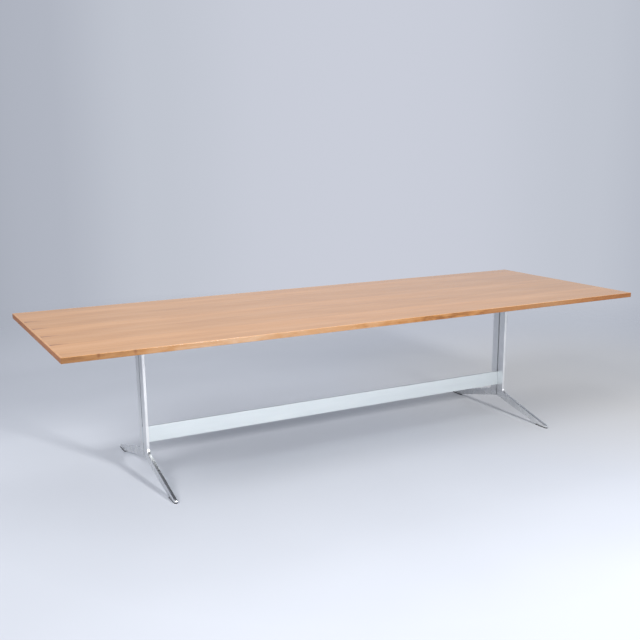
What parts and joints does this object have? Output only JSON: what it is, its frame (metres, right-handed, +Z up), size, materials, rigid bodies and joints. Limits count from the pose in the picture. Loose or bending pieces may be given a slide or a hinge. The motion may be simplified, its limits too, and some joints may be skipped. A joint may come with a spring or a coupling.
{
  "type": "conference table",
  "caption": "Long rectangular conference table: veneered wood top with solid lippings on slim cast trestles with splayed feet, tied by a flat stretcher bar.",
  "frame": {"origin": "on the floor under the middle of the top", "axes": "+X along the table's length, +Y towards its back long side, +Z up"},
  "size_m": [3, 1.05, 0.72],
  "materials": {
    "top_veneer": "satin-lacquered cherry-toned veneer, grain along the length",
    "underside_backing": "matt grey balancing sheet",
    "lipping": "satin-lacquered solid wood",
    "core_board": "raw particle board, not seen",
    "leg_casting": "satin polished",
    "stretcher_bar": "satin brushed along its length",
    "bearer_steel": "black powder coat",
    "glide_rubber": "matt black",
    "screw_steel": "zinc plated"
  },
  "bodies": {
    "root": {"top_core": "core_board", "top_veneer": "top_veneer", "underside_backing": "underside_backing", "front_lipping_left": "lipping", "front_lipping_middle": "lipping", "front_lipping_right": "lipping", "right_end_lipping": "lipping", "back_lipping": "lipping", "left_end_lipping": "lipping", "stretcher": "stretcher_bar", "left_front_leg": "leg_casting", "left_front_glide": "glide_rubber", "left_front_glide_screw_inner": "screw_steel", "left_front_leg_screw_inner": "screw_steel", "left_front_glide_screw_outer": "screw_steel", "left_front_leg_screw_outer": "screw_steel", "left_rear_leg": "leg_casting", "left_rear_glide": "glide_rubber", "left_rear_glide_screw_inner": "screw_steel", "left_rear_leg_screw_inner": "screw_steel", "left_rear_glide_screw_outer": "screw_steel", "left_rear_leg_screw_outer": "screw_steel", "left_bearer": "bearer_steel", "left_wood_screw_1": "screw_steel", "left_wood_screw_2": "screw_steel", "left_wood_screw_3": "screw_steel", "left_wood_screw_4": "screw_steel", "left_wood_screw_5": "screw_steel", "left_wood_screw_6": "screw_steel", "left_stretcher_bolt_lower": "screw_steel", "left_stretcher_bolt_upper": "screw_steel", "right_front_leg": "leg_casting", "right_front_glide": "glide_rubber", "right_front_glide_screw_inner": "screw_steel", "right_front_leg_screw_inner": "screw_steel", "right_front_glide_screw_outer": "screw_steel", "right_front_leg_screw_outer": "screw_steel", "right_rear_leg": "leg_casting", "right_rear_glide": "glide_rubber", "right_rear_glide_screw_inner": "screw_steel", "right_rear_leg_screw_inner": "screw_steel", "right_rear_glide_screw_outer": "screw_steel", "right_rear_leg_screw_outer": "screw_steel", "right_bearer": "bearer_steel", "right_wood_screw_1": "screw_steel", "right_wood_screw_2": "screw_steel", "right_wood_screw_3": "screw_steel", "right_wood_screw_4": "screw_steel", "right_wood_screw_5": "screw_steel", "right_wood_screw_6": "screw_steel", "right_stretcher_bolt_lower": "screw_steel", "right_stretcher_bolt_upper": "screw_steel"}
  },
  "joints": []
}
